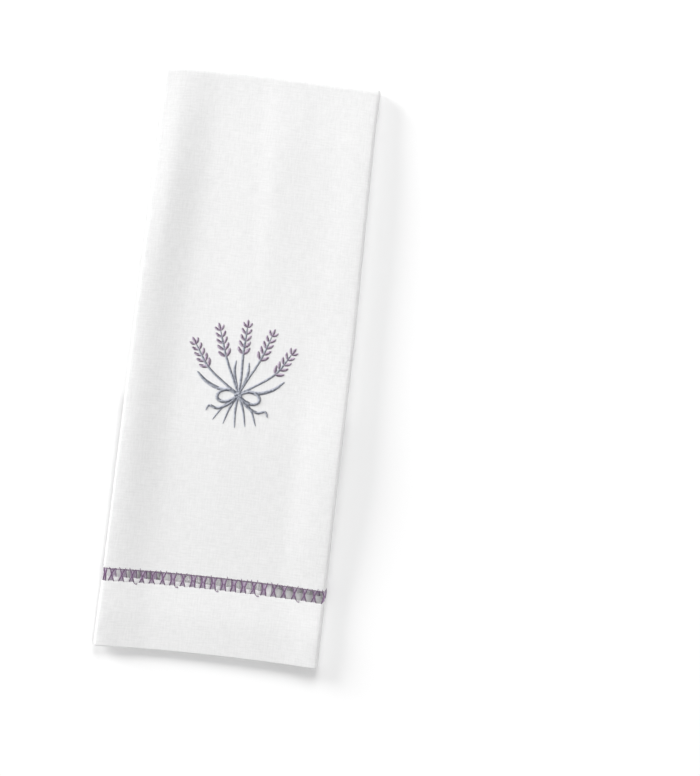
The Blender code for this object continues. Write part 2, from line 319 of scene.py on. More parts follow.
def folded(u, v, rise):
    """The place in space of a point of the flat cloth, or of what is sewn on it."""
    x, depth = fold_across(u, rise)
    v += slide(u, v)
    y, z = fold_along(v, depth)
    middle_depth = fold_across(u, 0.0)[1]
    middle_z = fold_along(v, middle_depth)[1]
    x, y = lay_out(x, y, middle_depth)
    lift = max((middle_z - SOLID_THICKNESS / 2) / STACK, 0.0)
    softness = crease_height(x, y) + unevenness(x, y)
    return Vector((x, y, z + lift * (swell_height(x, y) + softness))) + ORIGIN_SHIFT


class TowelSizes(bpy.types.PropertyGroup):
    """Sizes of the cloth and of its threads."""

    cloth: FloatProperty(
        name="Cloth", description="Thickness of the single cloth", default=0.6 * MM, unit="LENGTH")
    hem: FloatProperty(
        name="Hem", description="Thickness of the cloth where it is doubled", default=1.0 * MM, unit="LENGTH")
    weave: FloatProperty(
        name="Weave", description="From one thread of the linen to the next", default=0.6 * MM, unit="LENGTH")
    strand: FloatProperty(
        name="Strand", description="Thickness of the bars' plum thread", default=0.86 * MM, unit="LENGTH")
    satin: FloatProperty(
        name="Satin", description="Thickness of the satin stitch thread", default=0.36 * MM, unit="LENGTH")
    stitch: FloatProperty(
        name="Stitch", description="Length of a stitch of the hems", default=2.1 * MM, unit="LENGTH")


def colour_choice(name, description, default):
    """A colour that a user would change."""
    return FloatVectorProperty(name=name, description=description, default=default, size=3, subtype="COLOR")


class TowelColours(bpy.types.PropertyGroup):
    """Colours of the cloth, the threads and the floor."""

    linen: colour_choice("Linen", "White linen", (0.785, 0.785, 0.785))
    plum: colour_choice("Plum", "Thread of the bars and the buds", (0.115, 0.065, 0.125))
    mauve: colour_choice("Mauve", "Where the plum thread catches the light", (0.64, 0.54, 0.67))
    lilac: colour_choice("Lilac", "Linen threads among the plum ones of a bar", (0.58, 0.48, 0.62))
    slate: colour_choice("Slate", "Thread of the stems and the bow", (0.105, 0.115, 0.155))
    mist: colour_choice("Mist", "Where the slate thread catches the light", (0.60, 0.625, 0.70))
    thread: colour_choice("White thread", "Sewing thread", (0.78, 0.78, 0.78))
    floor: colour_choice("Floor", "Pale floor", (0.95, 0.95, 0.95))


def spaced(low, high, step):
    """Even places from low up to, but without, high, about a step apart."""
    count = max(round((high - low) / step), 1)
    return [low + (high - low) * number / count for number in range(count)]


def rim_places(rim, inwards):
    """Places beside a rim of the cloth, close together where it is rounded off."""
    return [rim + inwards * offset for offset in RIM_OFFSETS]


def across_places():
    """Each u of a line of the cloth's mesh."""
    places = rim_places(LEFT_EDGE, 1)
    places += spaced(LEFT_EDGE + SIDE_HEM_STEP, LEFT_HEM, SIDE_HEM_STEP)
    places += rim_places(LEFT_HEM, 1)
    places += spaced(LEFT_HEM + FLAP_STEP / 2, UNDER_START, FLAP_STEP)
    places += spaced(UNDER_START, -HALF_PANEL, LEFT_FOLD_STEP)
    places += spaced(-HALF_PANEL, HALF_PANEL, PANEL_STEP)
    places += spaced(HALF_PANEL, OUTER_START, RIGHT_FOLD_STEP)
    places += spaced(OUTER_START, RIGHT_HEM - FLAP_STEP / 2, FLAP_STEP)
    places += reversed(rim_places(RIGHT_HEM, -1))
    places += spaced(RIGHT_HEM + SIDE_HEM_STEP / 2, RIGHT_EDGE - SIDE_HEM_STEP / 2, SIDE_HEM_STEP)
    return places + list(reversed(rim_places(RIGHT_EDGE, -1)))


def along_places():
    """Each v of a line of the cloth's mesh."""
    places = rim_places(0.0, 1)
    places += spaced(HEM_STEP, HEM_DEPTH - HEM_STEP, LENGTH_STEP)
    places += reversed(rim_places(HEM_DEPTH, -1))
    places += spaced(HEM_DEPTH + BAND_STEP, BAND_TOP - BAND_STEP, BAND_STEP)
    places += rim_places(BAND_TOP, 1)
    places += spaced(BAND_TOP + HEM_STEP, FRONT_LENGTH, LENGTH_STEP)
    places += spaced(FRONT_LENGTH, BACK_START, TOP_FOLD_STEP)
    places += spaced(BACK_START, END_HEM - FLAP_STEP / 2, FLAP_STEP)
    places += reversed(rim_places(END_HEM, -1))
    places += spaced(END_HEM + FLAP_STEP / 2, CLOTH_LENGTH - HEM_STEP, LENGTH_STEP)
    return places + list(reversed(rim_places(CLOTH_LENGTH, -1)))


def in_openwork(u, v):
    """Whether a place lies where the weft is drawn out."""
    return HEM_DEPTH < v < BAND_TOP and LEFT_HEM < u < RIGHT_HEM


def cloth_faces(sizes, u, v):
    """The rise of the cloth's face side and of its wrong side: thicker in the hems, rounded at the rims."""
    from_side = min(u - LEFT_EDGE, RIGHT_EDGE - u)
    doubled = max(
        smooth_step(HEM_DEPTH + DOUBLED_EDGE, HEM_DEPTH, v),
        smooth_step(SIDE_HEM + DOUBLED_EDGE, SIDE_HEM, from_side),
        smooth_step(END_HEM - DOUBLED_EDGE, END_HEM, v),
    )
    thickness = sizes.cloth + (sizes.hem - sizes.cloth) * doubled
    rim = min(from_side, v, CLOTH_LENGTH - v)
    if from_side > SIDE_HEM:
        rim = min(rim, abs(v - HEM_DEPTH), abs(v - BAND_TOP))
    inwards = min(max(rim / (thickness / 2), 0.0), 1.0)
    half = thickness / 2 * (RIM_THINNESS + (1 - RIM_THINNESS) * math.sqrt(1 - (1 - inwards) ** 2))
    return FACE - thickness / 2 + half, FACE - thickness / 2 - half


def scallop(u, v):
    """The band's edges are drawn a little apart between two bars."""
    nearest = (u - FIRST_BAR) / BAR_PITCH
    pull = SCALLOP_DEPTH * math.cos(2 * math.pi * nearest)
    above = max(1 - abs(v - BAND_TOP) / SCALLOP_REACH, 0.0)
    below = max(1 - abs(v - HEM_DEPTH) / SCALLOP_REACH, 0.0)
    return pull * (below - above)


def finish_mesh(name, bm, material, body="root"):
    """The piece itself: its mesh, its finish, and the body that it rides on."""
    mesh = bpy.data.meshes.new(name)
    bm.to_mesh(mesh)
    bm.free()
    mesh.shade_smooth()
    mesh.materials.append(material)
    piece = bpy.data.objects.new(name, mesh)
    bpy.context.scene.collection.objects.link(piece)
    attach(piece, body)
    return piece


def make_cloth(sizes):
    """The cloth as one sheet with two sides, cut flat and then folded."""
    across = across_places()
    along = along_places()
    bm = bmesh.new()
    bmesh.ops.create_grid(bm, x_segments=len(across) - 1, y_segments=len(along) - 1, size=0.5)
    for vert in bm.verts:
        vert.co.x = across[round((vert.co.x + 0.5) * (len(across) - 1))]
        vert.co.y = along[round((vert.co.y + 0.5) * (len(along) - 1))]
    drawn_out = [face for face in bm.faces if in_openwork(*face.calc_center_median().xy)]
    bmesh.ops.delete(bm, geom=drawn_out, context="FACES")
    face_side = bm.verts[:]
    made = bmesh.ops.extrude_face_region(bm, geom=bm.faces[:], use_keep_orig=True)
    wrong_side = [item for item in made["geom"] if isinstance(item, bmesh.types.BMVert)]
    for vert in face_side:
        vert.co.z = cloth_faces(sizes, vert.co.x, vert.co.y)[0]
    for vert in wrong_side:
        vert.co.z = cloth_faces(sizes, vert.co.x, vert.co.y)[1]
    bmesh.ops.recalc_face_normals(bm, faces=bm.faces)
    flat = bm.loops.layers.uv.new("flat cloth")
    for face in bm.faces:
        for loop in face.loops:
            loop[flat].uv = loop.vert.co.xy
    for vert in bm.verts:
        u, v, rise = vert.co
        vert.co = folded(u, v + scallop(u, v), rise)
    return bm


def thread_template(sides, rings):
    """A tube one unit long with this many sides and rings: its mesh, and each vertex's turn and ring."""
    bm = bmesh.new()
    bm.loops.layers.uv.new("thread")
    bmesh.ops.create_grid(bm, x_segments=sides, y_segments=rings - 1, size=0.5, calc_uvs=True)
    mesh = bpy.data.meshes.new("thread template")
    bm.to_mesh(mesh)
    bm.free()
    flat = np.zeros(len(mesh.vertices) * 3, np.float32)
    mesh.vertices.foreach_get("co", flat)
    flat = flat.reshape(-1, 3) + 0.5
    return mesh, flat[:, 0] * 2 * math.pi, np.rint(flat[:, 1] * (rings - 1)).astype(int)


def tube_places(path, turns, rings):
    """Where the template's vertices go for a thread along this path of (place, radius)."""
    places = np.array([place for place, radius in path])
    radii = np.array([radius for place, radius in path])
    runs = np.gradient(places, axis=0)
    runs /= np.maximum(np.linalg.norm(runs, axis=1, keepdims=True), 1e-12)
    level = np.zeros(3)
    level[np.argmin(np.abs(runs).sum(axis=0))] = 1.0
    sides = np.cross(runs, level)
    sides /= np.linalg.norm(sides, axis=1, keepdims=True)
    tops = np.cross(sides, runs)
    around = np.cos(turns)[:, None] * sides[rings] + np.sin(turns)[:, None] * tops[rings]
    return places[rings] + around * radii[rings][:, None]


def make_threads(paths, sides=5):
    """Many threads as one mesh. Each is a path of (place, radius), and has this many sides."""
    templates = {}
    bm = bmesh.new()
    bm.loops.layers.uv.new("thread")
    coordinates = []
    for path in paths:
        if len(path) not in templates:
            templates[len(path)] = thread_template(sides, len(path))
        mesh, turns, rings = templates[len(path)]
        bm.from_mesh(mesh)
        coordinates.append(tube_places(path, turns, rings))
    for vert, place in zip(bm.verts, np.concatenate(coordinates)):
        vert.co = place
    bmesh.ops.remove_doubles(bm, verts=bm.verts, dist=WELD)
    bmesh.ops.recalc_face_normals(bm, faces=bm.faces)
    return bm


def thread_path(points, radius, end=0.0):
    """A thread through flat places (u, v, rise). Its ends have this share of its radius."""
    path = []
    for number, point in enumerate(points):
        from_end = min(number, len(points) - 1 - number)
        share = (end, BESIDE_END, 1.0)[min(from_end, 2)]
        path.append((folded(*point), radius * share))
    return path


def curve_through(points, steps):
    """A smooth line through these places, with this many steps from each to the next."""
    points = [Vector(point) for point in points]
    padded = [2 * points[0] - points[1], *points, 2 * points[-1] - points[-2]]
    line = []
    for before, start, end, after in zip(padded, padded[1:], padded[2:], padded[3:]):
        for step in range(steps):
            t = step / steps
            bend = 2 * before - 5 * start + 4 * end - after
            twist = 3 * start - before - 3 * end + after
            line.append(0.5 * (2 * start + t * (end - before) + t * t * bend + t ** 3 * twist))
    return line + [points[-1]]


def evenly(line, pitch):
    """Places along a line at an even pitch: (place, direction, share of the length)."""
    lengths = [0.0]
    for start, end in zip(line, line[1:]):
        lengths.append(lengths[-1] + (end - start).length)
    count = max(round(lengths[-1] / pitch), 1)
    found = []
    piece = 0
    for number in range(count + 1):
        wanted = lengths[-1] * number / count
        while piece < len(line) - 2 and lengths[piece + 1] < wanted:
            piece += 1
        run = line[piece + 1] - line[piece]
        along = (wanted - lengths[piece]) / max(run.length, 1e-9)
        found.append((line[piece] + along * run, run.normalized(), number / count))
    return found


# The openwork's bars, in flat millimetres from the bar's middle and from the band's lower edge.
# STRAND_HALF is how far out a strand lies at each height, from below the band to above it.
STRAND_HALF = ((-0.7, 1.50), (0.2, 1.40), (1.5, 1.10), (2.6, 0.80), (3.5, 0.72), (4.3, 0.82), (5.4, 1.20),
               (6.5, 1.50), (7.5, 1.62))
CROSSED_BARS = (0, 1, 2, 3, 4, 5, 7, 14, 16, 17, 18, 19, 20)  # their two strands cross at the waist
CROSSED_THINNESS = 0.78
UNDRAWN_BARS = range(-16, -6)  # of the under flap, where it is covered on both sides
HALF_DRAWN_BARS = range(23, 29)  # of the outer flap, behind the right third of the front
UNDRAWN_PITCH = 0.46 * MM
UNDRAWN_RADIUS = 0.22 * MM
UNDRAWN_WANDER = 0.08 * MM
UNDRAWN_SHAPE = ((-0.6, 0.3), (0.4, 0.8), (3.3, 1.15), (6.2, 0.8), (7.2, 0.3))  # height, and depth
WARP_RADIUS = 0.2 * MM
WARP_SHARES = (-0.8, -0.48, -0.16, 0.16, 0.48, 0.8)  # how far out each lies, against the outer strands
WARP_SINK = 0.3 * MM  # the bared threads lie this far below the cloth's face
CROSSED_HALF = 1.35  # where two crossing strands start
CROSSING_HEIGHT = 3.4
WANDER = 0.12
WAIST_WANDER = 0.35
BAR_SHIFT = 0.1 * MM
END_SINK = 0.6  # both ends of a strand dive into the cloth
OVERLAP = 0.18 * MM  # the strand on top, where two cross
BAR_SEED = 3

# The thread's shorter passes beside a bar. Shapes are (across, up, rise) in millimetres from the bar's
# middle, from an edge of the band and from the cloth's face.
FINE_RADIUS = 0.2 * MM
WRAP = ((-0.75, 3.3, -0.05), (-0.45, 3.38, 0.27), (0, 3.5, 0.45), (0.45, 3.62, 0.27), (0.75, 3.7, -0.05))
TICK_LENGTHS = (0.1, 1.5)  # the shortest and the longest
TICK_FOOT = (1.45, -0.1, 0.02)
TICK_LEAN = 0.25
EDGE_RISE = 0.1
EDGE_SAG = 0.4
LOOP = ((1.0, 0.2, 0.1), (1.5, -0.4, 0.1), (2.2, -0.95, 0.1), (2.9, -1.05, 0.1), (3.2, -0.7, 0.1),
        (2.4, -0.3, 0.1))
LOOP_RADIUS = 0.22 * MM
TURN_BAR = -1  # it has slipped off the left fold on to the front
TURN_BAR_SHIFT = 1.9 * MM
TURN_BAR_CLOSENESS = 0.42


def strand(bar, side, share, radius, rise, chance, crossed=False):
    """One strand of a bar, drawn in towards its waist. side is -1 or 1, share how far out it lies."""
    shift = chance.uniform(-WANDER, WANDER)
    waist = chance.uniform(-WAIST_WANDER, WAIST_WANDER)
    points = []
    for height, half in STRAND_HALF:
        up = height * MM / BAND_HEIGHT
        across = side * share * half + shift * up
        if crossed:
            across = side * share * CROSSED_HALF * (1 - height / CROSSING_HEIGHT) + shift
        lower = height + waist * math.sin(math.pi * min(max(up, 0), 1))
        sunk = 0 if 0 < up < 1 else END_SINK
        points.append((bar + across * MM, HEM_DEPTH + lower * MM, rise - sunk * MM))
    return thread_path(points, radius, end=0.3)


def undrawn_warps(bar, chance):
    """Warp threads that still stand side by side, over the width of one bar and one gap."""
    warps = []
    for place in spaced(-BAR_PITCH / 2, BAR_PITCH / 2, UNDRAWN_PITCH):
        at = bar + place + chance.uniform(-UNDRAWN_WANDER, UNDRAWN_WANDER)
        points = [(at, HEM_DEPTH + height * MM, FACE - sunk * MM) for height, sunk in UNDRAWN_SHAPE]
        warps.append(thread_path(points, UNDRAWN_RADIUS, end=0.5))
    return warps


def beside_bar(bar, level, shape):
    """The flat places of a thread of this shape beside a bar, from this edge of the band."""
    return [(bar + across * MM, level + up * MM, FACE + rise * MM) for across, up, rise in shape]


def fine_passes(bar, chance):
    """The wrap round the bar's waist, the two ticks above it and the thread along the band's upper edge."""
    passes = [thread_path(beside_bar(bar, HEM_DEPTH, WRAP), FINE_RADIUS)]
    out, low, rise = TICK_FOOT
    for side in (-1, 1):
        length = chance.uniform(*TICK_LENGTHS)
        tick = [(side * (out + TICK_LEAN * share), low + length * share, rise)
                for share in (0, 0.3, 0.6, 0.85, 1)]
        passes.append(thread_path(beside_bar(bar, BAND_TOP, tick), FINE_RADIUS, end=0.4))
    edge = [(share * BAR_PITCH / MM, EDGE_RISE - EDGE_SAG * math.sin(math.pi * share), 0)
            for share in (0, 0.2, 0.4, 0.6, 0.8, 1)]
    passes.append(thread_path(beside_bar(bar, BAND_TOP, edge), FINE_RADIUS, end=0.7))
    return passes


def make_bars(sizes):
    """The hourglass bars: drawn-in warp threads and the plum strands that hold them, and undrawn threads."""
    chance = random.Random(BAR_SEED)
    warps = []
    strands = []
    undrawn = []
    for number in BARS:
        if number in UNDRAWN_BARS or number in HALF_DRAWN_BARS:
            undrawn += undrawn_warps(FIRST_BAR + number * BAR_PITCH, chance)
        if number in UNDRAWN_BARS:
            continue
        bar = FIRST_BAR + number * BAR_PITCH + chance.uniform(-BAR_SHIFT, BAR_SHIFT)
        spread = 1.0
        if number == TURN_BAR:
            bar += TURN_BAR_SHIFT
            spread = TURN_BAR_CLOSENESS
        crossed = number in CROSSED_BARS
        radius = sizes.strand / 2 * (CROSSED_THINNESS if crossed else 1.0)
        for share in WARP_SHARES:
            warps.append(strand(bar, 1, share * spread, WARP_RADIUS, FACE - WARP_SINK, chance))
        for side in (-1, 1):
            over = OVERLAP * (crossed and side > 0)
            strands.append(strand(bar, side, spread, radius, FACE + over, chance, crossed))
        strands += fine_passes(bar, chance)
        if number in LOOPED_BARS:
            strands.append(thread_path(beside_bar(bar, HEM_DEPTH, LOOP), LOOP_RADIUS, end=0.4))
    return make_threads(warps), make_threads(strands, sides=6), make_threads(undrawn)


# The embroidered bunch of lavender, in flat millimetres from the motif's middle.
MOTIF_U = 1.2 * MM
MOTIF_V = 159.0 * MM
MOTIF_SCALE = 1.07
PAINTED_LIT_SIDE = Vector((-0.88, 0.47))  # the side of a satin column toward the key light, painted pale as a painted highlight; the other side is painted darker as painted shade
Column = namedtuple("Column", "points width taper")
STEMS = (
    Column(points=((-24.5, 9), (-17, -2), (-7, -10), (0.5, -15), (7, -21.5), (10.5, -29.5)),
           width=1.5, taper=0.3),
    Column(points=((-13, 17), (-8.5, 4), (-3.5, -7), (0.2, -15), (3.4, -22.5), (5.2, -30.5)),
           width=1.5, taper=0.3),
    Column(points=((0.5, 20), (0, 6), (0.4, -5), (0, -15), (-0.6, -23), (0, -31.5)), width=1.6, taper=0.3),
    Column(points=((13.5, 17), (9, 4), (3.5, -7), (-0.2, -15), (-3.8, -22.5), (-6, -30)),
           width=1.5, taper=0.3),
    Column(points=((24.5, 9), (17.5, -2), (7, -10), (-0.5, -15), (-7, -21.5), (-11.5, -28.5)),
           width=1.5, taper=0.3),
)
LEAVES = (
    Column(points=((-3, -12), (-10, -12.5), (-17, -9.5), (-22, -5)), width=2.7, taper=0.9),
    Column(points=((3, -12), (10.5, -12.8), (17.5, -10), (22.5, -5.5)), width=2.7, taper=0.9),
    Column(points=((-0.9, -11), (-2.4, -7), (-3.4, -2.5), (-3.1, 2.5)), width=2.1, taper=0.9),
    Column(points=((1.2, -11), (2.7, -7), (3.7, -2.5), (3.5, 2)), width=2.1, taper=0.9),
)
BOW = (
    Column(points=((0, -15), (-5, -12.6), (-9.5, -14), (-10.5, -17.5), (-6.5, -18.8), (0, -15.6)),
           width=1.8, taper=0.3),
    Column(points=((0, -15), (5, -12.8), (9.8, -13.8), (10.8, -17.2), (6.8, -18.8), (0, -15.6)),
           width=1.8, taper=0.3),
    Column(points=((-0.5, -15.5), (-4.5, -20), (-10, -22.5), (-14, -21.5), (-15.5, -24)),
           width=1.6, taper=0.4),
    Column(points=((0.5, -15.5), (4.8, -20), (10.4, -22.8), (14.5, -21.8), (16, -24.4)),
           width=1.6, taper=0.4),
    Column(points=((-1.9, -15.2), (0, -14.4), (1.9, -15.2)), width=2.6, taper=0.1),
)
BUD_TIERS = 5
BUD_SPACING = 3.4
BUD_LENGTH = 4.3
BUD_WIDTH = 2.1
FIRST_BUD = 0.72  # the size of the outermost buds against the innermost
BUD_TAPER = 0.62
TIP_BUD_LENGTH = 0.9
TIP_BUD_WIDTH = 0.8
BUD_OUT = 0.35  # how far a bud starts from the stem, and how far it bows out
BUD_LEAN = (0.80, 0.62)  # along the stem and away from it

SATIN_CLOSENESS = 0.92  # from one stitch to the next, against their thickness
SATIN_SLANT = (0.97, 0.24)  # across the column and along it
SATIN_POINTS = (-1, -0.72, 0, 0.72, 1)  # of one stitch, against half the column's width
SATIN_RAGGED = 0.07
SATIN_ARCH = 0.42  # of the padding under the stitches
SATIN_SINK = 0.16
FULL_ARCH_HALF = 0.8  # a narrower column has a lower arch
COLUMN_END = 0.25  # the width of a column's end, against its middle
LAID_ON = ((0.0, LEAVES), (0.05, STEMS), (0.3, BOW))  # how high each lies
BUDS_LAID_ON = 0.08
SATIN_SEED = 11


def satin(column, sizes, chance, height):
    """A column of satin stitch: threads laid side by side across its line, over a little padding."""
    stitches = []
    line = curve_through([Vector((*point, 0.0)) for point in column.points], steps=10)
    for place, run, share in evenly(line, sizes.satin * SATIN_CLOSENESS / MM):
        ends = min(share, 1 - share)
        fullness = min(ends / column.taper, 1.0)
        half = column.width / 2 * (COLUMN_END + (1 - COLUMN_END) * math.sqrt(1 - (1 - fullness) ** 2))
        across = Vector((-run.y, run.x, 0.0)) * SATIN_SLANT[0] + run * SATIN_SLANT[1]
        left = half + chance.uniform(-SATIN_RAGGED, SATIN_RAGGED)
        right = half + chance.uniform(-SATIN_RAGGED, SATIN_RAGGED)
        points = []
        for offset in SATIN_POINTS:
            flat = place + across * offset * (left if offset < 0 else right)
            arch = SATIN_ARCH * (1 - offset * offset) - SATIN_SINK
            rise = FACE + (arch * min(half / FULL_ARCH_HALF, 1.0) + height) * MM
            points.append((MOTIF_U + flat.x * MOTIF_SCALE * MM, MOTIF_V + flat.y * MOTIF_SCALE * MM, rise))
        # Each stitch starts on its lit side, which its finish paints pale as a painted highlight.
        if across.xy.dot(PAINTED_LIT_SIDE) > 0:
            points.reverse()
        stitches.append(thread_path(points, sizes.satin / 2, end=0.25))
    return stitches


def lavender_buds(stem):
    """The buds of one flower head: pairs that point up and out from the stem, and one at its tip."""
    line = curve_through([Vector((*point, 0.0)) for point in stem.points], steps=12)
    spots = evenly(line, BUD_SPACING)
    buds = []
    for tier, (place, run, share) in enumerate(spots[:BUD_TIERS]):
        up = -run
        out = Vector((-up.y, up.x, 0.0))
        grown = FIRST_BUD + (1 - FIRST_BUD) * tier / (BUD_TIERS - 1)
        for side in (-1, 1):
            base = place + out * side * BUD_OUT
            tip = base + (up * BUD_LEAN[0] + out * side * BUD_LEAN[1]) * BUD_LENGTH * grown
            middle = (base + tip) / 2 + out * side * BUD_OUT
            buds.append(Column((base.xy[:], middle.xy[:], tip.xy[:]), BUD_WIDTH * grown, BUD_TAPER))
    place, run, share = spots[0]
    tip = place - run * BUD_LENGTH * TIP_BUD_LENGTH
    middle = (place + tip) / 2
    buds.append(Column((place.xy[:], middle.xy[:], tip.xy[:]), BUD_WIDTH * TIP_BUD_WIDTH, BUD_TAPER))
    return buds


def make_embroidery(sizes):
    """The bunch of lavender: its slate stems, leaves and bow, and its plum buds."""
    chance = random.Random(SATIN_SEED)
    greens = []
    for height, columns in LAID_ON:
        for column in columns:
            greens += satin(column, sizes, chance, height)
    buds = []
    for stem in STEMS:
        for bud in lavender_buds(stem):
            buds += satin(bud, sizes, chance, BUDS_LAID_ON)
    return make_threads(greens), make_threads(buds)


# The hem stitches.
STITCH_RADIUS = 0.15 * MM
STITCH_SHAPE = ((0, 0.35), (0.15, 0.05), (0.5, 0.0), (0.85, 0.05), (1, 0.35))  # share along, and how sunk
STITCH_SPACING = 1.6  # from one stitch to the next, against its length
SIDE_SEAMS = (LEFT_HEM - 0.7 * MM, RIGHT_HEM + 0.7 * MM)
END_SEAM = END_HEM + 1.0 * MM
SEAM_START = 2 * MM  # from the cloth's edge to the first stitch


def hem_stitch(start, run, sizes, rise):
    """One straight stitch on the cloth, from a flat place in a flat direction."""
    points = []
    for share, sunk in STITCH_SHAPE:
        place = start + run * share * sizes.stitch
        points.append((place.x, place.y, rise - math.copysign(sunk, rise) * MM))
    return thread_path(points, STITCH_RADIUS, end=0.3)


def make_hem_stitches(sizes):
    """The rows of stitches that hold the side hems and the hem at the back end."""
    stitches = []
    pitch = sizes.stitch * STITCH_SPACING
    inner = FACE - sizes.hem
    lengthwise = spaced(SEAM_START, CLOTH_LENGTH - 4 * MM, pitch)
    crosswise = spaced(LEFT_EDGE + SEAM_START, RIGHT_EDGE - 3 * MM, pitch)
    rows = [(Vector((u, v)), Vector((0, 1))) for u in SIDE_SEAMS for v in lengthwise]
    rows += [(Vector((u, END_SEAM)), Vector((1, 0))) for u in crosswise]
    for start, run in rows:
        stitches.append(hem_stitch(start, run, sizes, FACE))
        stitches.append(hem_stitch(start + run * pitch / 2, run, sizes, inner))
    return make_threads(stitches)


class Finish:
    """A material's node tree, with short ways to add to it."""

    def __init__(self, name, roughness):
        self.material = bpy.data.materials.new(name)
        self.material.use_nodes = True
        self.tree = self.material.node_tree
        self.shader = self.tree.nodes["Principled BSDF"]
        self.shader.inputs["Roughness"].default_value = roughness
        self.shader.inputs["Metallic"].default_value = 0.0

    def add(self, kind, inputs=(), **settings):
        """A node with its settings, and its inputs as values or as other nodes' outputs."""
        node = self.tree.nodes.new(kind)
        for name, value in settings.items():
            setattr(node, name, value)
        for key, value in dict(inputs).items():
            if isinstance(value, bpy.types.NodeSocket):
                self.tree.links.new(value, node.inputs[key])
            else:
                node.inputs[key].default_value = value
        return node

    def maths(self, operation, first, second=0.0):
        """The result of one sum."""
        return self.add("ShaderNodeMath", {0: first, 1: second}, operation=operation).outputs[0]

    def ramp(self, factor, stops):
        """A colour for each share: stops are (place, colour)."""
        node = self.add("ShaderNodeValToRGB", {"Fac": factor})
        node.color_ramp.elements[0].position = stops[0][0]
        node.color_ramp.elements[0].color = (*stops[0][1], 1)
        node.color_ramp.elements[1].position = stops[-1][0]
        node.color_ramp.elements[1].color = (*stops[-1][1], 1)
        for place, colour in stops[1:-1]:
            node.color_ramp.elements.new(place).color = (*colour, 1)
        return node.outputs["Color"]

    def paint(self, colour):
        """Gives the finish its colour."""
        self.tree.links.new(colour, self.shader.inputs["Base Color"])

    def ridges(self, height, strength, depth):
        """Gives the finish a fine relief."""
        bump = self.add("ShaderNodeBump", {"Height": height, "Strength": strength, "Distance": depth})
        self.tree.links.new(bump.outputs["Normal"], self.shader.inputs["Normal"])

    def speckle(self, vector, scale, stretch=(1, 1, 1), detail=1.0):
        """Noise, which may be stretched along one direction."""
        moved = self.add("ShaderNodeMapping", {"Vector": vector, "Scale": stretch}).outputs["Vector"]
        noisy = self.add("ShaderNodeTexNoise", {"Vector": moved, "Scale": scale, "Detail": detail})
        return noisy.outputs["Fac"]


def shade(colour, factor):
    """A colour made lighter or darker."""
    return tuple(min(channel * factor, 1.0) for channel in colour)


FLAP_PAINTED_LIGHT = 1.12  # painted light: the folded-in flaps are painted whiter beside the band, to lift the shade they lie in where they show through the openwork
FLAP_PAINTED_LIGHT_REACH = 8 * MM  # the painted light reaches up to here above the band
SLUB_FINENESS = 1300  # slubs for each metre, across their thread
SLUB_LENGTHWISE = 150  # and along it
SLUB_SHARE = 0.4  # how much the slubs, the grain and the weave each count in the linen's tone
GRAIN_FINENESS = 900.0
GRAIN_SHARE = 0.22
WEAVE_SHARE = 0.12
SLUB_HEIGHT = 1.4  # of a slub, against the weave
TONES = ((0.36, 0.945), (0.76, 1.065))  # how light the linen is at each tone
WANDER_FINENESS = 120.0  # its threads wander a little

# Inputs and output of a mix node, which have no names of their own.
FIRST_VALUE, SECOND_VALUE = 2, 3
FIRST_COLOUR, SECOND_COLOUR, MIXED_COLOUR = 6, 7, 2


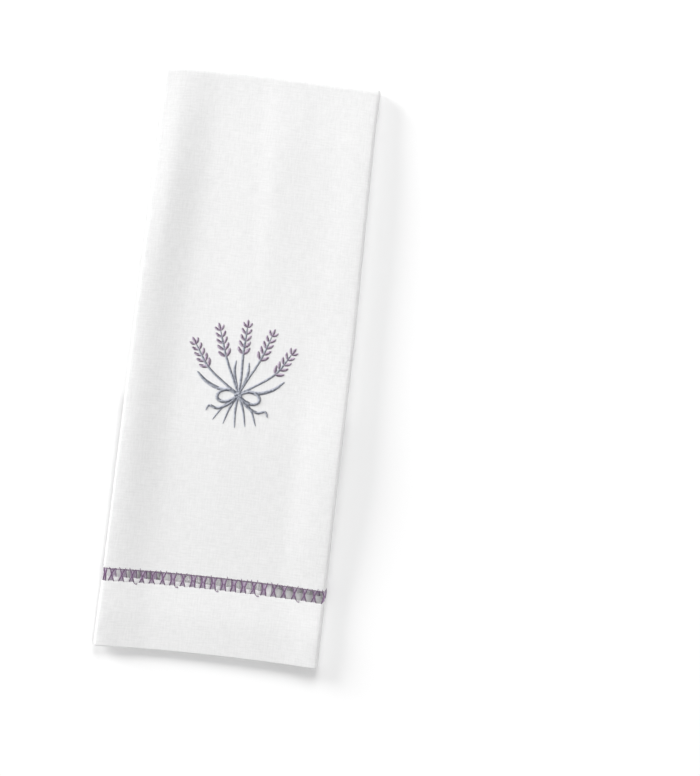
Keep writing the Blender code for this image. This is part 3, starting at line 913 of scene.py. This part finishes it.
def linen_finish(sizes, colours):
    """Plain-weave linen: crossing threads, thicker slubs among them, a soft uneven white, and painted light
    on the folded-in flaps beside the band.
    """
    finish = Finish("white linen", roughness=0.85)
    finish.shader.inputs["Sheen Weight"].default_value = 0.12
    finish.shader.inputs["Sheen Roughness"].default_value = 0.5
    finish.shader.inputs["Specular IOR Level"].default_value = 0.25
    finish.shader.inputs["Subsurface Weight"].default_value = 0.6
    finish.shader.inputs["Subsurface Radius"].default_value = (1.0, 1.0, 1.0)
    finish.shader.inputs["Subsurface Scale"].default_value = 0.5 * MM
    flat = finish.add("ShaderNodeUVMap", uv_map="flat cloth").outputs["UV"]
    wander = finish.speckle(flat, WANDER_FINENESS, detail=2.0)
    count = 1 / sizes.weave
    threads = finish.add("ShaderNodeVectorMath", {0: flat, 1: (count, count, 1)}, operation="MULTIPLY")
    moved = finish.add("ShaderNodeVectorMath", {0: threads.outputs[0], 1: wander}, operation="ADD")
    wandering = moved.outputs[0]
    parts = finish.add("ShaderNodeSeparateXYZ", {0: wandering}).outputs
    warp = finish.maths("ABSOLUTE", finish.maths("SINE", finish.maths("MULTIPLY", parts[0], math.pi)))
    weft = finish.maths("ABSOLUTE", finish.maths("SINE", finish.maths("MULTIPLY", parts[1], math.pi)))
    over = finish.add("ShaderNodeTexChecker", {"Vector": wandering, "Scale": 1.0}).outputs["Fac"]
    weave = finish.add("ShaderNodeMix", {0: over, FIRST_VALUE: warp, SECOND_VALUE: weft}).outputs[0]
    warp_slubs = finish.speckle(flat, 1.0, (SLUB_FINENESS, SLUB_LENGTHWISE, 1))
    weft_slubs = finish.speckle(flat, 1.0, (SLUB_LENGTHWISE, SLUB_FINENESS, 1))
    slubs = finish.maths("ADD", warp_slubs, weft_slubs)
    grain = finish.speckle(flat, GRAIN_FINENESS)
    slub_tone = finish.maths("MULTIPLY", slubs, SLUB_SHARE)
    grain_tone = finish.maths("MULTIPLY", grain, GRAIN_SHARE)
    weave_tone = finish.maths("MULTIPLY", weave, WEAVE_SHARE)
    deep = finish.maths("ADD", finish.maths("ADD", slub_tone, grain_tone), weave_tone)
    colour = finish.ramp(deep, [(place, shade(colours.linen, light)) for place, light in TONES])
    flat_parts = finish.add("ShaderNodeSeparateXYZ", {0: flat}).outputs
    # Painted light: where a folded-in flap lies beside the band, its linen is painted whiter to lift the
    # shade there.
    on_flap = finish.maths("GREATER_THAN", finish.maths("ABSOLUTE", flat_parts[0]), OUTER_START)
    near_band = finish.maths("LESS_THAN", flat_parts[1], BAND_TOP + FLAP_PAINTED_LIGHT_REACH)
    flap_painted_light_mask = finish.maths("MULTIPLY", on_flap, near_band)
    flap_painted_light_linen = (*shade(colours.linen, FLAP_PAINTED_LIGHT), 1)
    mixed = finish.add("ShaderNodeMix", {0: flap_painted_light_mask, FIRST_COLOUR: colour, SECOND_COLOUR: flap_painted_light_linen},
                       data_type="RGBA")
    finish.paint(mixed.outputs[MIXED_COLOUR])
    height = finish.maths("ADD", weave, finish.maths("MULTIPLY", slubs, SLUB_HEIGHT))
    finish.ridges(height, strength=0.6, depth=0.07 * MM)
    return finish.material


PLY_TWIST = 40.0  # how far the ply turns along one thread, in radians
# How far the painted highlight of a satin stitch reaches from its lit side.
PAINTED_SIDE_LIFT = 1.15


def thread_finish(name, dark, light, painted_gleam, painted_on_one_side=False):
    """Twisted thread with its ply as fine ridges, and painted light in its colour: a painted highlight on its
    crown and painted shade towards its ends, or, for satin, its lit first half painted pale and the rest
    painted in shade.
    """
    finish = Finish(name, roughness=0.5)
    finish.shader.inputs["Sheen Weight"].default_value = 0.2
    finish.shader.inputs["Sheen Roughness"].default_value = 0.4
    along = finish.add("ShaderNodeUVMap", uv_map="thread").outputs["UV"]
    parts = finish.add("ShaderNodeSeparateXYZ", {0: along}).outputs
    # Painted highlight and shade: pale on the crown or the lit side, dark at the ends or on the side away
    # from the light.
    if painted_on_one_side:
        painted_light_share = finish.maths("SUBTRACT", PAINTED_SIDE_LIFT, parts[1])
        stops = ((0.42, dark), (0.80, light))
    else:
        painted_light_share = finish.maths("SINE", finish.maths("MULTIPLY", parts[1], math.pi))
        stops = ((0.25, dark), (1.0, light))
    place = finish.add("ShaderNodeTexCoord").outputs["Object"]
    uneven = finish.add("ShaderNodeTexNoise", {"Vector": place, "Scale": 900.0, "Detail": 2.0}).outputs["Fac"]
    factor = finish.maths("MULTIPLY", painted_light_share, finish.maths("ADD", uneven, painted_gleam))
    finish.paint(finish.ramp(factor, stops))
    lengthwise = finish.maths("MULTIPLY", parts[1], PLY_TWIST)
    twist = finish.maths("ADD", lengthwise, finish.maths("MULTIPLY", parts[0], 2 * math.pi))
    finish.ridges(finish.maths("SINE", twist), strength=0.5, depth=0.04 * MM)
    return finish.material


class TOWEL_OT_cloth(bpy.types.Operator):
    """Make the linen cloth, folded as it lies"""

    bl_idname = "towel.cloth"
    bl_label = "Cloth"

    def execute(self, context):
        sizes = context.scene.towel_sizes
        linen = linen_finish(sizes, context.scene.towel_colours)
        cloth = finish_mesh("towel_cloth", make_cloth(sizes), linen)
        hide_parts("linen_towel")
        return {"FINISHED"}


class TOWEL_OT_bars(bpy.types.Operator):
    """Make the hourglass bars of the openwork band"""

    bl_idname = "towel.bars"
    bl_label = "Openwork bars"

    def execute(self, context):
        colours = context.scene.towel_colours
        warps, strands, undrawn = make_bars(context.scene.towel_sizes)
        pale = thread_finish("drawn-in warp", shade(colours.lilac, 0.7), colours.lilac, painted_gleam=0.6)
        finish_mesh("openwork_warps", warps, pale)
        # Painted light: the undrawn warps are painted whiter than the linen, to lift the shade in the band's
        # gaps.
        gap_painted_light = shade(colours.linen, 1.25)
        white = thread_finish("undrawn warp", shade(colours.linen, 1.15), gap_painted_light, painted_gleam=0.6)
        finish_mesh("undrawn_warps", undrawn, white)
        plum = thread_finish("plum strand", colours.plum, shade(colours.plum, 1.9), painted_gleam=0.4)
        finish_mesh("openwork_strands", strands, plum)
        return {"FINISHED"}


class TOWEL_OT_embroidery(bpy.types.Operator):
    """Make the satin-stitched bunch of lavender"""

    bl_idname = "towel.embroidery"
    bl_label = "Embroidery"

    def execute(self, context):
        colours = context.scene.towel_colours
        greens, buds = make_embroidery(context.scene.towel_sizes)
        slate = thread_finish("slate satin", colours.slate, colours.mist, painted_gleam=0.4, painted_on_one_side=True)
        finish_mesh("embroidered_stems", greens, slate)
        plum = thread_finish("plum satin", colours.plum, colours.mauve, painted_gleam=0.4, painted_on_one_side=True)
        finish_mesh("embroidered_buds", buds, plum)
        return {"FINISHED"}


class TOWEL_OT_hem_stitches(bpy.types.Operator):
    """Make the white stitches of the side and end hems"""

    bl_idname = "towel.hem_stitches"
    bl_label = "Hem stitches"

    def execute(self, context):
        thread = context.scene.towel_colours.thread
        white = thread_finish("white sewing thread", shade(thread, 0.8), thread, painted_gleam=0.6)
        stitches = finish_mesh("hem_stitches", make_hem_stitches(context.scene.towel_sizes), white)
        return {"FINISHED"}


class TOWEL_OT_stage(bpy.types.Operator):
    """Make the pale floor, the soft studio light and the camera above the towel"""

    bl_idname = "towel.stage"
    bl_label = "Stage"

    def execute(self, context):
        make_floor(context.scene.towel_colours)
        make_lights()
        make_camera()
        context.scene.view_settings.view_transform = "Standard"
        return {"FINISHED"}


FLOOR_HALF = 2.0
FLOOR_DROP = 0.15 * MM
LIGHT_DISTANCE = 4.0
LIGHT_SIZE = 2.2
Softbox = namedtuple("Softbox", "name azimuth elevation power")
LIGHTS = (
    Softbox(name="low key from the left", azimuth=152, elevation=18, power=140),
    Softbox(name="soft light from the top", azimuth=90, elevation=44, power=62),
    Softbox(name="soft light from above", azimuth=330, elevation=72, power=54),
)
SURROUND = 0.318

CAMERA_PLACE = (61.9 * MM, -4.7 * MM, 2.5)
CAMERA_TURN = math.radians(6.55)
PICTURE_HEIGHT = 776
METRES_PER_PIXEL = 0.5478 * MM
SENSOR_HEIGHT = 24.0


def make_floor(colours):
    """The surface that the towel lies on, just under its lowest layer."""
    bm = bmesh.new()
    bmesh.ops.create_grid(bm, x_segments=1, y_segments=1, size=FLOOR_HALF)
    bmesh.ops.translate(bm, verts=bm.verts, vec=(0, 0, -FLOOR_DROP))
    mesh = bpy.data.meshes.new("floor")
    bm.to_mesh(mesh)
    bm.free()
    finish = Finish("pale floor", roughness=0.9)
    finish.shader.inputs["Base Color"].default_value = (*colours.floor, 1)
    finish.shader.inputs["Specular IOR Level"].default_value = 0.0
    mesh.materials.append(finish.material)
    floor = bpy.data.objects.new("floor", mesh)
    bpy.context.scene.collection.objects.link(floor)


def make_lights():
    """Large soft lights, and an even pale surround."""
    for light in LIGHTS:
        lamp = bpy.data.lights.new(light.name, "AREA")
        lamp.shape = "DISK"
        lamp.size = LIGHT_SIZE
        lamp.energy = light.power
        holder = bpy.data.objects.new(light.name, lamp)
        turn = Euler((0, -math.radians(light.elevation), math.radians(light.azimuth)))
        towards = Vector((1, 0, 0))
        towards.rotate(turn)
        holder.location = towards * LIGHT_DISTANCE
        holder.rotation_euler = towards.to_track_quat("Z", "Y").to_euler()
        bpy.context.scene.collection.objects.link(holder)
    world = bpy.data.worlds.new("studio")
    world.use_nodes = True
    world.node_tree.nodes["Background"].inputs["Color"].default_value = (1, 1, 1, 1)
    world.node_tree.nodes["Background"].inputs["Strength"].default_value = SURROUND
    bpy.context.scene.world = world


def make_camera():
    """The camera, straight above and turned a little."""
    lens = bpy.data.cameras.new("camera")
    lens.sensor_fit = "VERTICAL"
    lens.sensor_height = SENSOR_HEIGHT
    lens.lens = SENSOR_HEIGHT * CAMERA_PLACE[2] / (PICTURE_HEIGHT * METRES_PER_PIXEL)
    lens.clip_end = 20.0
    camera = bpy.data.objects.new("camera", lens)
    camera.location = CAMERA_PLACE
    camera.rotation_euler = (0, 0, CAMERA_TURN)
    bpy.context.scene.collection.objects.link(camera)
    bpy.context.scene.camera = camera


class VIEW3D_PT_towel(bpy.types.Panel):
    """The towel's sizes, colours and pieces"""

    bl_label = "Folded Hand Towel"
    bl_space_type = "VIEW_3D"
    bl_region_type = "UI"
    bl_category = "Towel"

    def draw(self, context):
        layout = self.layout
        for group in (context.scene.towel_sizes, context.scene.towel_colours):
            for name in group.__annotations__:
                layout.prop(group, name)
        for operator in OPERATORS:
            layout.operator(operator.bl_idname)


OPERATORS = (TOWEL_OT_cloth, TOWEL_OT_bars, TOWEL_OT_embroidery, TOWEL_OT_hem_stitches, TOWEL_OT_stage)
CLASSES = (TowelSizes, TowelColours, *OPERATORS, VIEW3D_PT_towel)


def register():
    for item in CLASSES:
        bpy.utils.register_class(item)
    bpy.types.Scene.towel_sizes = PointerProperty(type=TowelSizes)
    bpy.types.Scene.towel_colours = PointerProperty(type=TowelColours)


def unregister():
    del bpy.types.Scene.towel_colours
    del bpy.types.Scene.towel_sizes
    for item in reversed(CLASSES):
        bpy.utils.unregister_class(item)


def main():
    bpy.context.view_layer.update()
    register()
    bpy.ops.towel.cloth()
    bpy.ops.towel.bars()
    bpy.ops.towel.embroidery()
    bpy.ops.towel.hem_stitches()
    bpy.ops.towel.stage()


if __name__ == "__main__":
    main()
